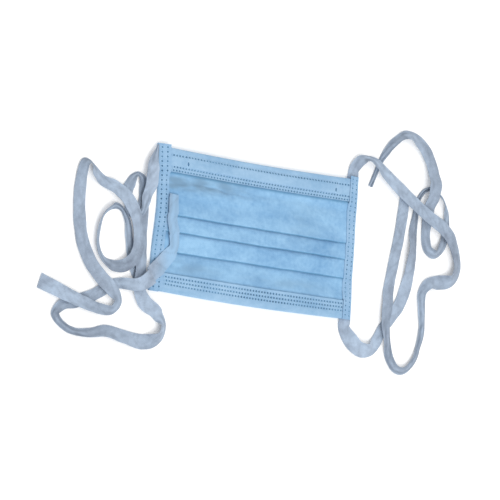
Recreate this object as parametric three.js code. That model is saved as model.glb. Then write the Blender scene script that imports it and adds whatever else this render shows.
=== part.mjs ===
import * as THREE from 'three';

// A tie-on pleated face mask of non-woven cloth, lying on its back with the outer face up.
// X runs along the width, Y points to the nose edge, Z is up, and z = 0 is the table.
// Sizes are in millimetres and angles in degrees.

// Whole mask
const maskWidth = 175;
const maskHeight = 95;

// Cloth walls and the clearance between separate pieces
const clothWall = 1;
const clearance = 0.3;

// Pleats. The cloth turns back under each fold edge by the pleat depth, then runs on down.
// fold: distance of the fold edge from the top edge, as a share of the mask height
const pleatDepth = 10;
const pleatAir = 0.2;
const settleRun = 14;
const pleats = [
  { fold: 0.463 },
  { fold: 0.579 },
  { fold: 0.716 },
];

// Folded strips along the nose edge and the chin edge
const topHemWidth = 16;
const bottomHemWidth = 12;

// Nose wire inside the top hem
const wireLength = 128;
const wireWidth = 4;
const wireThickness = 0.8;
const wireFromTop = 9.5;
const wirePocketRamp = 4;

// Side bindings, a tape folded over each side edge
const bindingWidth = 9;

// How far the cloth sinks towards the table between its thick edges
const sinkRun = 6;
const sinkMargin = 1;
const middleRise = 0.4;

// Soft dents and swells of the cloth.
// x, y: centre, as shares of the half width and half height
// spreadX, spreadY: reach in the same shares; height: in millimetres, never below the resting cloth
const swells = [
  { x: -0.55, y: 0.72, spreadX: 0.45, spreadY: 0.5, height: 1.0 },
  { x: 0.05, y: 0.5, spreadX: 0.6, spreadY: 0.35, height: 0.7 },
  { x: 0.6, y: 0.8, spreadX: 0.3, spreadY: 0.4, height: 0.5 },
  { x: -0.3, y: -0.65, spreadX: 0.4, spreadY: 0.3, height: 0.8 },
  { x: 0.45, y: -0.8, spreadX: 0.4, spreadY: 0.35, height: 0.6 },
];

// Ties, flat tapes that leave the corners and lie loose on the table
const tieWidth = 10;
const tieThickness = 1;
const tieStep = 6;

// Route of each tie, chosen by hand.
// side: -1 for the left edge of the mask, +1 for the right one
// out, y: centre of the tape, its distance out from that side edge and its place along Y
// rise: height of its lowest edge over the table
// lean: turn of its width out of the level, positive where its left edge is the upper one
const tieRoutes = {
  tie_top_left: {
    side: -1,
    points: [
      { out: 1.5, y: 42, rise: 2.6, lean: 0 },
      { out: 5, y: 41, rise: 2.6, lean: 0 },
      { out: 7.7, y: 37, rise: 3, lean: 0 },
      { out: 8, y: 30, rise: 3.8, lean: 0 },
      { out: 7.1, y: 21, rise: 4.2, lean: 0 },
      { out: 7.5, y: 11, rise: 2.8, lean: 0 },
      { out: 10, y: 2.5, rise: 1.9, lean: 0 },
      { out: 15.5, y: -2.5, rise: 1.9, lean: 0 },
      { out: 21.5, y: 1.5, rise: 2, lean: 0 },
      { out: 23, y: 10, rise: 1.8, lean: 0 },
      { out: 22.5, y: 15, rise: 0.8, lean: -3 },
      { out: 21, y: 20.5, rise: 0.3, lean: -42 },
      { out: 17, y: 24.8, rise: 0.3, lean: -42 },
      { out: 13, y: 25, rise: 0.3, lean: -10 },
      { out: 9.5, y: 22, rise: 0.3, lean: 0 },
      { out: 6.7, y: 14, rise: 0.3, lean: 0 },
      { out: 6.3, y: 2, rise: 0.3, lean: 0 },
      { out: 6.7, y: -10, rise: 0.3, lean: 0 },
      { out: 7, y: -20, rise: 1.7, lean: 0 },
      { out: 7, y: -29, rise: 1.9, lean: 0 },
      { out: 8, y: -39, rise: 2.6, lean: 0 },
      { out: 8.5, y: -48, rise: 2.4, lean: 0 },
      { out: 3.5, y: -56, rise: 1.2, lean: 10 },
      { out: -6.5, y: -61, rise: 0.3, lean: 20 },
      { out: -13.5, y: -68, rise: 0.3, lean: -25 },
      { out: -10.5, y: -77, rise: 0.3, lean: -30 },
      { out: 1.5, y: -81, rise: 0.3, lean: 0 },
      { out: 18.5, y: -79.5, rise: 0.3, lean: 8 },
      { out: 33.5, y: -77.5, rise: 0.3, lean: 15 },
      { out: 46.5, y: -80, rise: 0.3, lean: 25 },
      { out: 58.5, y: -80.5, rise: 0.3, lean: 10 },
      { out: 69.5, y: -77.5, rise: 0.3, lean: -25 },
      { out: 76.5, y: -71, rise: 0.3, lean: -45 },
      { out: 70.5, y: -65, rise: 0.3, lean: -10 },
      { out: 59.5, y: -61.5, rise: 0.3, lean: 0 },
      { out: 48.5, y: -57.5, rise: 0.3, lean: 0 },
      { out: 39, y: -52.5, rise: 0.3, lean: 0 },
      { out: 31.5, y: -48, rise: 0.3, lean: 0 },
      { out: 23.5, y: -45.8, rise: 0.3, lean: 0 },
      { out: 18, y: -45.8, rise: 2.4, lean: 0 },
      { out: 13.5, y: -45.8, rise: 4.1, lean: 0 },
      { out: 9, y: -44.5, rise: 5.3, lean: 0 },
      { out: 4.5, y: -41, rise: 6.6, lean: 0 },
      { out: -0.5, y: -36.5, rise: 6.6, lean: 0 },
      { out: -5.5, y: -32, rise: 6.6, lean: 0 },
      { out: -10.5, y: -27.5, rise: 6.3, lean: 0 },
      { out: -14.5, y: -23, rise: 5.3, lean: 0 },
      { out: -17, y: -18, rise: 5, lean: 0 },
      { out: -17, y: -12.5, rise: 5.5, lean: 0 },
      { out: -15.5, y: -7, rise: 6.9, lean: 0 },
      { out: -14.3, y: -1, rise: 7, lean: 0 },
      { out: -14.1, y: 5, rise: 7.2, lean: 0 },
      { out: -14.2, y: 11, rise: 6.4, lean: 0 },
      { out: -14.5, y: 16, rise: 5.4, lean: 0 },
    ],
  },
  tie_bottom_left: {
    side: -1,
    points: [
      { out: 1.1, y: -42.5, rise: 1.2, lean: 0 },
      { out: 5.5, y: -42, rise: 0.8, lean: 0 },
      { out: 11, y: -37, rise: 0.3, lean: 0 },
      { out: 15, y: -28, rise: 0.3, lean: 0 },
      { out: 18.5, y: -16, rise: 0.3, lean: 0 },
      { out: 21, y: -5, rise: 0.3, lean: 0 },
      { out: 26, y: 1.5, rise: 0.3, lean: 0 },
      { out: 31, y: 3, rise: 0.3, lean: -5 },
      { out: 36, y: 1, rise: 0.3, lean: -50 },
      { out: 41, y: -3.5, rise: 0.3, lean: -45 },
      { out: 44.5, y: -13, rise: 0.3, lean: -30 },
      { out: 44.5, y: -24, rise: 0.3, lean: -30 },
      { out: 39.5, y: -32, rise: 0.3, lean: -20 },
      { out: 30.5, y: -35.5, rise: 0.3, lean: -12 },
      { out: 22, y: -34, rise: 2.4, lean: 0 },
      { out: 15.5, y: -28, rise: 3.8, lean: 0 },
      { out: 12.5, y: -19, rise: 3.5, lean: 0 },
      { out: 13.5, y: -9, rise: 3.5, lean: 0 },
      { out: 17.5, y: 0, rise: 3.8, lean: 0 },
      { out: 24.5, y: 8.5, rise: 3.8, lean: 0 },
      { out: 33.5, y: 14.5, rise: 2.2, lean: 0 },
      { out: 43, y: 17.5, rise: 0.3, lean: 0 },
      { out: 50.5, y: 22, rise: 0.3, lean: 25 },
      { out: 55, y: 28, rise: 0.3, lean: 55 },
      { out: 59.5, y: 27.5, rise: 0.3, lean: 40 },
      { out: 61.5, y: 18, rise: 0.3, lean: 12 },
      { out: 61.5, y: 4, rise: 0.3, lean: 0 },
      { out: 60, y: -10, rise: 0.3, lean: 0 },
      { out: 56.5, y: -23, rise: 0.3, lean: 0 },
      { out: 50.5, y: -34, rise: 0.8, lean: 0 },
      { out: 41.5, y: -43.5, rise: 1.9, lean: 0 },
      { out: 31.5, y: -50.5, rise: 2, lean: 0 },
      { out: 25.5, y: -57, rise: 1.2, lean: -15 },
      { out: 29.5, y: -63.5, rise: 0.6, lean: -15 },
      { out: 40.5, y: -64, rise: 1.9, lean: 0 },
      { out: 51.5, y: -62, rise: 2.2, lean: 0 },
      { out: 63.5, y: -59.5, rise: 3, lean: 0 },
      { out: 75.5, y: -56, rise: 2.4, lean: 0 },
      { out: 89.5, y: -51.5, rise: 0.3, lean: 0 },
    ],
  },
  tie_top_right: {
    side: 1,
    points: [
      { out: -4.5, y: 48.2, rise: 2.6, lean: 0 },
      { out: -4.2, y: 52.5, rise: 2.4, lean: 0 },
      { out: -1, y: 58.5, rise: 1.9, lean: -30 },
      { out: 6, y: 61, rise: 1.9, lean: -35 },
      { out: 14.5, y: 58.5, rise: 3, lean: -10 },
      { out: 23.5, y: 52.5, rise: 2.8, lean: 0 },
      { out: 33.5, y: 46.5, rise: 2.2, lean: 0 },
      { out: 43.5, y: 40.5, rise: 2.4, lean: 0 },
      { out: 54.5, y: 34, rise: 3, lean: 0 },
      { out: 65.5, y: 28, rise: 3.8, lean: 0 },
      { out: 75.5, y: 24, rise: 3.2, lean: 0 },
      { out: 84.5, y: 18, rise: 1.9, lean: -8 },
      { out: 91.5, y: 8, rise: 0.3, lean: -15 },
      { out: 93.5, y: -3, rise: 0.3, lean: -20 },
      { out: 89, y: -11, rise: 0.3, lean: -25 },
      { out: 78.5, y: -13.5, rise: 0.3, lean: 0 },
      { out: 68.5, y: -15.5, rise: 0.3, lean: 20 },
      { out: 63, y: -22, rise: 0.3, lean: 25 },
      { out: 63.5, y: -33, rise: 0.3, lean: 20 },
      { out: 65, y: -46, rise: 0.3, lean: 15 },
      { out: 63, y: -59, rise: 0.3, lean: 0 },
      { out: 58.5, y: -69, rise: 0.3, lean: -15 },
      { out: 50, y: -76, rise: 0.3, lean: -30 },
      { out: 41.5, y: -75, rise: 0.3, lean: -40 },
      { out: 36, y: -67, rise: 0.3, lean: -20 },
      { out: 33.5, y: -58, rise: 2, lean: 0 },
      { out: 31, y: -46, rise: 2, lean: 0 },
      { out: 32, y: -34, rise: 1.9, lean: 0 },
      { out: 33.5, y: -22, rise: 0.3, lean: 0 },
      { out: 37, y: -3, rise: 0.3, lean: 0 },
      { out: 40, y: 12, rise: 0.3, lean: 0 },
      { out: 42, y: 26, rise: 0.3, lean: 0 },
      { out: 43.5, y: 41, rise: 0.3, lean: 0 },
    ],
  },
  tie_bottom_right: {
    side: 1,
    points: [
      { out: -4.5, y: -48.2, rise: 2.2, lean: 0 },
      { out: -4.2, y: -53, rise: 1.2, lean: 0 },
      { out: 0.5, y: -61, rise: 0.3, lean: 25 },
      { out: 9, y: -66, rise: 0.3, lean: 25 },
      { out: 18, y: -65.5, rise: 0.3, lean: 20 },
      { out: 24.5, y: -59.5, rise: 0.3, lean: 0 },
      { out: 29.5, y: -50.5, rise: 0.3, lean: 0 },
      { out: 36.5, y: -42, rise: 0.3, lean: 0 },
      { out: 43.5, y: -33, rise: 0.3, lean: 0 },
      { out: 48.5, y: -21, rise: 0.3, lean: 0 },
      { out: 51, y: -8, rise: 0.3, lean: 10 },
      { out: 52, y: 6, rise: 0.3, lean: 20 },
      { out: 52.5, y: 18, rise: 0.3, lean: 0 },
      { out: 54, y: 30, rise: 0.3, lean: 0 },
      { out: 55.5, y: 39, rise: 0.3, lean: 0 },
      { out: 60.5, y: 46, rise: 0.3, lean: -12 },
      { out: 67, y: 48.3, rise: 0.3, lean: -4 },
      { out: 73, y: 46.5, rise: 0.3, lean: -10 },
      { out: 78.3, y: 41.5, rise: 0.3, lean: -45 },
      { out: 82, y: 33, rise: 0.3, lean: -5 },
      { out: 82, y: 22, rise: 0.3, lean: 0 },
      { out: 79, y: 11, rise: 0.3, lean: -15 },
      { out: 72, y: 4.5, rise: 0.3, lean: -40 },
      { out: 65.3, y: 8, rise: 0.3, lean: -25 },
      { out: 64, y: 18, rise: 0.3, lean: 0 },
      { out: 64.5, y: 28, rise: 0.9, lean: 0 },
      { out: 65.3, y: 35, rise: 1.2, lean: 0 },
      { out: 66.3, y: 43, rise: 4.6, lean: 0 },
      { out: 67.3, y: 51, rise: 4.6, lean: 0 },
      { out: 66.5, y: 60, rise: 1.4, lean: 5 },
      { out: 62, y: 70, rise: 0.3, lean: 8 },
      { out: 53, y: 78, rise: 0.3, lean: 12 },
      { out: 42, y: 81.5, rise: 0.3, lean: 35 },
      { out: 32, y: 77.5, rise: 0.3, lean: 60 },
      { out: 24.5, y: 69, rise: 0.3, lean: 25 },
      { out: 19, y: 60, rise: 0.3, lean: 0 },
      { out: 15, y: 51, rise: 0.3, lean: 0 },
      { out: 11, y: 43, rise: 0.3, lean: 20 },
    ],
  },
};

// Places worked out from the sizes above
const halfWidth = maskWidth / 2;
const halfHeight = maskHeight / 2;
const layerPitch = clothWall + pleatAir;
const tapeSeat = clothWall + clearance;
const clothHalf = clothWall / 2;
const sideEdge = halfWidth - tapeSeat;
const topEdge = halfHeight - tapeSeat;
const bottomEdge = -topEdge;
const bindingInner = halfWidth - bindingWidth;
const topHemInner = halfHeight - topHemWidth;
const bottomHemInner = bottomHemWidth - halfHeight;
const hemBase = 2 * tapeSeat + clothHalf;
const sideSink = tapeSeat;
const middleSink = tapeSeat - middleRise;
const wireY = halfHeight - wireFromTop;

const ramp = (from, to, value) => THREE.MathUtils.smoothstep(value, from, to);
const radians = THREE.MathUtils.degToRad;

// Lift of the cloth over its level course: it sinks between the hems and between the bindings,
// and swells a little where the swell table says.
function lift(x, y) {
  const lowStart = bottomHemInner + sinkMargin;
  const highEnd = topHemInner - sinkMargin;
  const sideEnd = bindingInner - sinkMargin;
  const betweenHems = ramp(lowStart, lowStart + sinkRun, y) * (1 - ramp(highEnd - sinkRun, highEnd, y));
  const betweenBindings = 1 - ramp(sideEnd - sinkRun, sideEnd, Math.abs(x));
  let swell = 0;
  for (const { x: cx, y: cy, spreadX, spreadY, height } of swells) {
    const across = (x / halfWidth - cx) / spreadX;
    const along = (y / halfHeight - cy) / spreadY;
    swell += height * Math.exp(-2 * (across * across + along * along));
  }
  return betweenBindings * (swell - middleSink) - betweenHems * sideSink;
}

// The pleated course. Each run of cloth lies on the ones below it at its fold edge,
// and comes down to the lowest level at its own inner fold.
const folds = pleats.map(({ fold }) => {
  const edge = halfHeight - fold * maskHeight;
  return { edge, inner: edge + pleatDepth };
});

function runHeight(index, y) {
  if (index === folds.length) {
    return 0;
  }
  const { inner } = folds[index];
  const top = index === 0 ? inner + settleRun : folds[index - 1].inner;
  if (y <= inner) {
    return runHeight(index + 1, y) + 2 * layerPitch;
  }
  const start = runHeight(index + 1, inner) + 2 * layerPitch;
  return y >= top ? 0 : start * (top - y) / (top - inner);
}

function topOfPanel(y) {
  const index = folds.findIndex(({ edge }) => y >= edge);
  return runHeight(index < 0 ? folds.length : index, y) + clothHalf;
}

// A half turn between two levels, bulging towards +Y or -Y
function halfTurn(y, fromZ, toZ, side) {
  const middle = (fromZ + toZ) / 2;
  const radius = Math.abs(fromZ - toZ) / 2;
  const steps = 4;
  const points = [];
  for (let i = 1; i < steps; i += 1) {
    const angle = Math.PI * (i / steps - 0.5);
    const z = middle + Math.sign(toZ - fromZ) * radius * Math.sin(angle);
    points.push([y + side * radius * Math.cos(angle), z]);
  }
  return points;
}

function stretch(from, to, step, heightAt) {
  const count = Math.max(1, Math.round(Math.abs(to - from) / step));
  const points = [];
  for (let i = 0; i <= count; i += 1) {
    const y = from + (to - from) * i / count;
    points.push([y, heightAt(y)]);
  }
  return points;
}

function pleatedCourse() {
  const step = 5;
  const points = [];
  let start = topEdge;
  folds.forEach(({ edge, inner }, index) => {
    const cover = (y) => runHeight(index, y);
    const under = (y) => runHeight(index + 1, y) + layerPitch;
    points.push(...stretch(start, inner, step, cover), ...stretch(inner, edge, step, cover).slice(1));
    points.push(...halfTurn(edge, cover(edge), under(edge), -1));
    points.push(...stretch(edge, inner, step, under));
    points.push(...halfTurn(inner, under(inner), runHeight(index + 1, inner), 1));
    start = inner;
  });
  points.push(...stretch(start, bottomEdge, step, (y) => runHeight(folds.length, y)));
  return points;
}

// Closed outline of a wall of even thickness round an open course of points
function wallOutline(course, thickness) {
  const side = (sign) => course.map(([y, z], i) => {
    const [y0, z0] = course[Math.max(i - 1, 0)];
    const [y1, z1] = course[Math.min(i + 1, course.length - 1)];
    const length = Math.hypot(y1 - y0, z1 - z0);
    const offset = sign * thickness / 2;
    return [y - offset * (z1 - z0) / length, z + offset * (y1 - y0) / length];
  });
  return [...side(1), ...side(-1).reverse()];
}

// Solid through rings of points that match one by one. section is the flat outline of a ring.
function loft(rings, section) {
  const flat = section.map(([a, b]) => new THREE.Vector2(a, b));
  const turned = THREE.ShapeUtils.isClockWise(flat);
  const outline = turned ? flat.reverse() : flat;
  const ordered = turned ? rings.map((ring) => [...ring].reverse()) : rings;
  const size = outline.length;
  const last = (ordered.length - 1) * size;
  const triangles = [];
  for (let start = 0; start < last; start += size) {
    for (let i = 0; i < size; i += 1) {
      const a = start + i;
      const b = start + (i + 1) % size;
      triangles.push([a, b, b + size], [a, b + size, a + size]);
    }
  }
  for (const [a, b, c] of THREE.ShapeUtils.triangulateShape(outline, [])) {
    triangles.push([a, c, b], [last + a, last + b, last + c]);
  }
  const points = ordered.flat().map((point) => new THREE.Vector3(...point));
  const volume = triangles.reduce((sum, [a, b, c]) => (
    sum + points[a].dot(new THREE.Vector3().crossVectors(points[b], points[c]))), 0);
  const outward = volume > 0 ? triangles : triangles.map(([a, b, c]) => [a, c, b]);
  const geometry = new THREE.BufferGeometry().setFromPoints(points);
  geometry.setIndex(outward.flat());
  geometry.computeVertexNormals();
  return geometry;
}

// A section in the YZ plane carried along X, riding on the lift of the cloth
function carryAcross(section, stations, extra = () => 0) {
  const rings = stations.map((x) => section.map(([y, z]) => [
    x, y, z + hemBase + lift(x, y) + extra(x, y, z),
  ]));
  return loft(rings, section);
}

// Even places from -half to half
function evenPlaces(half, step) {
  const count = Math.ceil(2 * half / step);
  return Array.from({ length: count + 1 }, (_, i) => -half + 2 * half * i / count);
}

// Places across the mask: its side edges, both ends of the sinking stretch, and even ones between.
// The same places serve the cloth and the hems, so that they sink and swell alike.
function acrossMask() {
  const level = bindingInner - sinkMargin;
  const sunk = level - sinkRun;
  const end = wireLength / 2 + clearance;
  const marks = [sideEdge, level, level - sinkRun / 2, end + wirePocketRamp, end];
  const even = evenPlaces(Math.min(sunk, end), 16).slice(1, -1);
  return [...marks.map((x) => -x), ...even, ...marks].sort((a, b) => a - b);
}

function panel() {
  return carryAcross(wallOutline(pleatedCourse(), clothWall), acrossMask());
}

// The pocket stands up over the wire with a ramp all round
function pocketRise(x, y) {
  const height = wireThickness + clearance;
  const along = (wireLength / 2 + clearance + wirePocketRamp - Math.abs(x)) / wirePocketRamp;
  const across = (wireWidth / 2 + clearance + wirePocketRamp / 2 - Math.abs(y - wireY)) / (wirePocketRamp / 2);
  return height * THREE.MathUtils.clamp(Math.min(along, across), 0, 1);
}

// A strip folded over an edge: upper leg, turn and lower leg. side is +1 at the nose edge.
function hem(side, width, breaks) {
  const outer = halfHeight;
  const inner = halfHeight - width;
  const level = tapeSeat;
  const ys = [inner, ...breaks, outer - clothWall];
  const line = (z, list) => list.map((y) => [side * y, z]);
  const outline = [
    ...line(level - clothHalf, ys),
    ...line(clothHalf - level, [...ys].reverse()),
    ...line(-level - clothHalf, [...ys]),
    [side * outer, -level - clothHalf],
    [side * outer, level + clothHalf],
    ...line(level + clothHalf, [...ys].reverse()),
  ];
  return outline;
}

function topHem() {
  const foot = wireWidth / 2 + clearance;
  const breaks = [wireY - foot - wirePocketRamp / 2, wireY - foot, wireY + foot, wireY + foot + wirePocketRamp / 2];
  return carryAcross(hem(1, topHemWidth, breaks), acrossMask(), (x, y, z) => (z > 0 ? pocketRise(x, y) : 0));
}

function bottomHem() {
  const breaks = [halfHeight - bottomHemWidth / 2];
  return carryAcross(hem(-1, bottomHemWidth, breaks), acrossMask());
}

function noseWire() {
  const bottom = clothHalf + clearance;
  const outline = [
    [wireY - wireWidth / 2, bottom],
    [wireY + wireWidth / 2, bottom],
    [wireY + wireWidth / 2, bottom + wireThickness],
    [wireY - wireWidth / 2, bottom + wireThickness],
  ];
  const end = wireLength / 2;
  return carryAcross(outline, [-end, ...acrossMask().filter((x) => Math.abs(x) < end), end]);
}

// Height of what a binding wraps, at one place along the side edge
function wrappedHeight(y) {
  const level = y >= topHemInner || y <= bottomHemInner ? tapeSeat + clothHalf : 0;
  const place = THREE.MathUtils.clamp(y, bottomEdge, topEdge);
  return hemBase + lift(halfWidth, place) + Math.max(topOfPanel(place), level);
}

// side is -1 on the left and +1 on the right
function binding(side) {
  const count = 32;
  const step = maskHeight / count;
  const rings = [];
  for (let i = 0; i <= count; i += 1) {
    const y = -halfHeight + step * i;
    const near = Array.from({ length: 17 }, (_, k) => wrappedHeight(y + step * (k / 8 - 1)));
    const inside = Math.max(...near) + clearance;
    const ring = [
      [bindingInner, 0],
      [halfWidth, 0],
      [halfWidth, inside + clothWall],
      [bindingInner, inside + clothWall],
      [bindingInner, inside],
      [halfWidth - clothWall, inside],
      [halfWidth - clothWall, clothWall],
      [bindingInner, clothWall],
    ];
    rings.push(ring.map(([x, z]) => [side * x, y, z]));
  }
  return loft(rings, rings[0].map(([x, , z]) => [x, z]));
}

// A flat tape along a route of points, with its lowest edge at the rise that the route gives
function tie({ side, points }) {
  const route = points.map(({ out, ...rest }) => ({ x: side * (halfWidth + out), ...rest }));
  const places = route.map(({ x, y }) => new THREE.Vector3(x, y, 0));
  const curve = new THREE.CatmullRomCurve3(places, false, 'centripetal');
  const half = tieWidth / 2;
  const thick = tieThickness / 2;
  const rings = [];
  const spans = route.length - 1;
  for (let span = 0; span < spans; span += 1) {
    const from = route[span];
    const to = route[span + 1];
    const steps = Math.max(1, Math.round(Math.hypot(to.x - from.x, to.y - from.y) / tieStep));
    const last = span === spans - 1 ? steps : steps - 1;
    for (let i = 0; i <= last; i += 1) {
      const part = i / steps;
      const place = (span + part) / spans;
      const point = curve.getPoint(place);
      const heading = curve.getTangent(place);
      const blend = THREE.MathUtils.smoothstep(part, 0, 1);
      const lean = radians(THREE.MathUtils.lerp(from.lean, to.lean, blend));
      const rise = THREE.MathUtils.lerp(from.rise, to.rise, blend);
      const middle = rise + half * Math.abs(Math.sin(lean)) + thick * Math.cos(lean);
      const wide = [-heading.y * Math.cos(lean), heading.x * Math.cos(lean), Math.sin(lean)];
      const deep = [heading.y * Math.sin(lean), -heading.x * Math.sin(lean), Math.cos(lean)];
      const corner = (a, b) => [0, 1, 2].map((k) => (
        [point.x, point.y, middle][k] + a * half * wide[k] + b * thick * deep[k]));
      rings.push([corner(-1, -1), corner(-1, 1), corner(1, 1), corner(1, -1)]);
    }
  }
  return loft(rings, [[-1, -1], [-1, 1], [1, 1], [1, -1]]);
}

function piece(name, geometry, color, roughness, metalness = 0) {
  const mesh = new THREE.Mesh(geometry, new THREE.MeshStandardMaterial({ color, roughness, metalness }));
  mesh.name = name;
  return mesh;
}

const blueCloth = '#93c3e8';
const hemCloth = '#a9cbe8';
const tapeCloth = '#aabedc';
const wirePlastic = '#dfe5ea';

const group = new THREE.Group();
group.add(piece('panel', panel(), blueCloth, 0.85));
group.add(piece('top_hem', topHem(), hemCloth, 0.85));
group.add(piece('bottom_hem', bottomHem(), hemCloth, 0.85));
group.add(piece('nose_wire', noseWire(), wirePlastic, 0.5));
group.add(piece('left_binding', binding(-1), tapeCloth, 0.8));
group.add(piece('right_binding', binding(1), tapeCloth, 0.8));
for (const [name, route] of Object.entries(tieRoutes)) {
  group.add(piece(name, tie(route), tapeCloth, 0.8));
}

export default group;
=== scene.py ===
"""Looks of the tie-on pleated face mask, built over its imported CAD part.

The mask lies on its back with the outer face up. X runs along the width, Y points to the nose
edge, Z is up, and z = 0 is the table. Shapes are worked out in millimetres and go into the
meshes in metres.
"""

import math

import bpy
import numpy as np
from mathutils import Matrix, Vector, noise


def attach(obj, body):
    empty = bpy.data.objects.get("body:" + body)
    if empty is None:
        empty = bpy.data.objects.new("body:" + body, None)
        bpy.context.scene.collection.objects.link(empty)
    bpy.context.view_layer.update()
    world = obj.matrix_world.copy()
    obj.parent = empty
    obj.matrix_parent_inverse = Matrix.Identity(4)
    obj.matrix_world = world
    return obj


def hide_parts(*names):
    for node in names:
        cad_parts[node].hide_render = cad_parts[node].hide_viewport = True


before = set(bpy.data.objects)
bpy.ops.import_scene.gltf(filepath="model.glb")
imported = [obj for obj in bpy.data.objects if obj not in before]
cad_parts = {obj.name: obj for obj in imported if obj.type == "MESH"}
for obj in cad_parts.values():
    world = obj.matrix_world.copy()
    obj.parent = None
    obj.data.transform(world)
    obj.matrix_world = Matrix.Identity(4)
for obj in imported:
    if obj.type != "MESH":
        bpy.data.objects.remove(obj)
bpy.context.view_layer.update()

MM = 0.001

# The mask's own sizes in millimetres, as in the CAD part. SEAT is the level from the panel to the
# leg of a strip that wraps it, PITCH the level from one layer of a pleat to the next.
HALF_WIDTH = 87.5
HALF_HEIGHT = 47.5
WALL = 1.0
PITCH = 1.2
SEAT = 1.3
SIDE_EDGE = HALF_WIDTH - SEAT
TOP_EDGE = HALF_HEIGHT - SEAT
HEM_BASE = 3.1
TOP_HEM = 16.0
BOTTOM_HEM = 12.0
BINDING = 9.0
BINDING_INNER = HALF_WIDTH - BINDING
FOLD_SHARES = (0.463, 0.579, 0.716)
PLEAT_DEPTH = 10.0
SETTLE_RUN = 14.0
SINK_RUN = 6.0
SINK_MARGIN = 1.0
MIDDLE_RISE = 0.4
WIRE_HALF = 64.0
WIRE_Y = HALF_HEIGHT - 9.5
WIRE_WIDTH = 4.0
POCKET_RISE = 1.1
POCKET_RAMP = 4.0
HEM_INNER = HALF_HEIGHT - TOP_HEM
CHIN_INNER = BOTTOM_HEM - HALF_HEIGHT

# Places of each pleat's fold edge and of the inner fold above it, along Y
FOLDS = [(HALF_HEIGHT - share * 2 * HALF_HEIGHT, HALF_HEIGHT - share * 2 * HALF_HEIGHT + PLEAT_DEPTH)
         for share in FOLD_SHARES]

# Soft swells of the cloth: centre and reach as shares of the half sizes, height in millimetres
SWELLS = (
    (-0.55, 0.72, 0.45, 0.5, 1.0),
    (0.05, 0.5, 0.6, 0.35, 0.7),
    (0.6, 0.8, 0.3, 0.4, 0.5),
    (-0.3, -0.65, 0.4, 0.3, 0.8),
    (0.45, -0.8, 0.4, 0.35, 0.6),
)

# Long soft folds of the panel: centre and reach in millimetres, turn in degrees and height
SOFT_FOLDS = (
    (-36, 18.5, 30, 3.6, 4, 1.0),
    (-70, 22.0, 9, 3.0, 25, 0.5),
    (58, 19.0, 22, 4.0, -6, 0.7),
    (20, 24.0, 26, 3.0, -2, 0.4),
    (-64, -28.0, 13, 4.0, 38, 0.9),
    (-20, -29.0, 34, 3.5, 0, 0.5),
    (52, -30.0, 24, 3.2, 3, 0.5),
)

# Greyer patches of the panel: centre and reach in millimetres, strength
GREY_PATCHES = (
    (-52, -30, 22, 5, 0.6),
    (30, -30, 40, 4, 0.45),
    (40, 12, 16, 12, 0.35),
)

# Real cloth thickness of each part, and how far a sheet stays inside the CAD part's wall
PANEL_CLOTH = 0.45
HEM_CLOTH = 0.4
TAPE_CLOTH = 0.35
WALL_MARGIN = 0.05
HEM_LEVEL = SEAT + 0.5 * (WALL - HEM_CLOTH) - WALL_MARGIN

# Lowest height of the middle of a tape over the table
TABLE_GAP = 0.25

# A binding's tape: its height over what it wraps at the mask's edge and at its inner edge, and how
# far in its rounded edge reaches
BINDING_OUTER = 0.35
BINDING_INNER_GAP = 0.12
BINDING_ROUND = 3.4

# How the cloth hangs between the bindings: depths at places along Y, the shares of them that are
# even and that follow a bow along X, half the length of the bow, and depth at the chin edge
SAG_PLACES = (-16, 0, 15, 33, 47.5)
SAG_DEPTHS = (0, 0.9, 1.1, 2.1, 2.9)
SAG_SHARES = (0.58, 0.42)
SAG_BOW = 80
CHIN_SAG = 1.3

# How far the left side is drawn in, and where along Y
WAIST_DEPTH = 2.5
WAIST_PLACE = 10
WAIST_REACH = 24

# Shares of height that the welded sides take from the pleats and from the whole mask
PLEAT_PRESS = 0.55
EDGE_PRESS = 0.52

# Weld rows: distance in from the nose edge (side 1) or the chin edge (side -1), and columns by
# their distance in from a side edge
WELD_ROWS = {1: (4.9, 12.7, 15.0), -1: (5.2, 7.5, 9.9)}
WELD_COLUMNS = (2.5, 6.5)

# Half the length of a row or column of welds, and the pitch of its marks
HEM_WELDS = (76.0, 2.5)
BINDING_WELDS = (45.0, 3.0)

# A weld mark of radius 1: inset and rise of each ring, radius of its pit, how deep it sits in the
# cloth, and how much longer the two marks are that stop the nose wire
WELD_RINGS = ((0.24, 0.09), (0.12, 0.0), (0.16, -0.10))
WELD_PIT = 0.66
WELD_SINK = 0.04
STOP_STRETCH = 2.1

# The camera, fitted to the mask's outline in the photograph: angles in degrees, lengths in metres
# but the lens, which is in millimetres
CAMERA_HEADING = 9.547
CAMERA_TILT = 41.555
CAMERA_ROLL = 3.623
CAMERA_DISTANCE = 3.5
CAMERA_RIGHT = -0.002665
CAMERA_UP = -0.01116
CAMERA_LENS = 387.35

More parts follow.
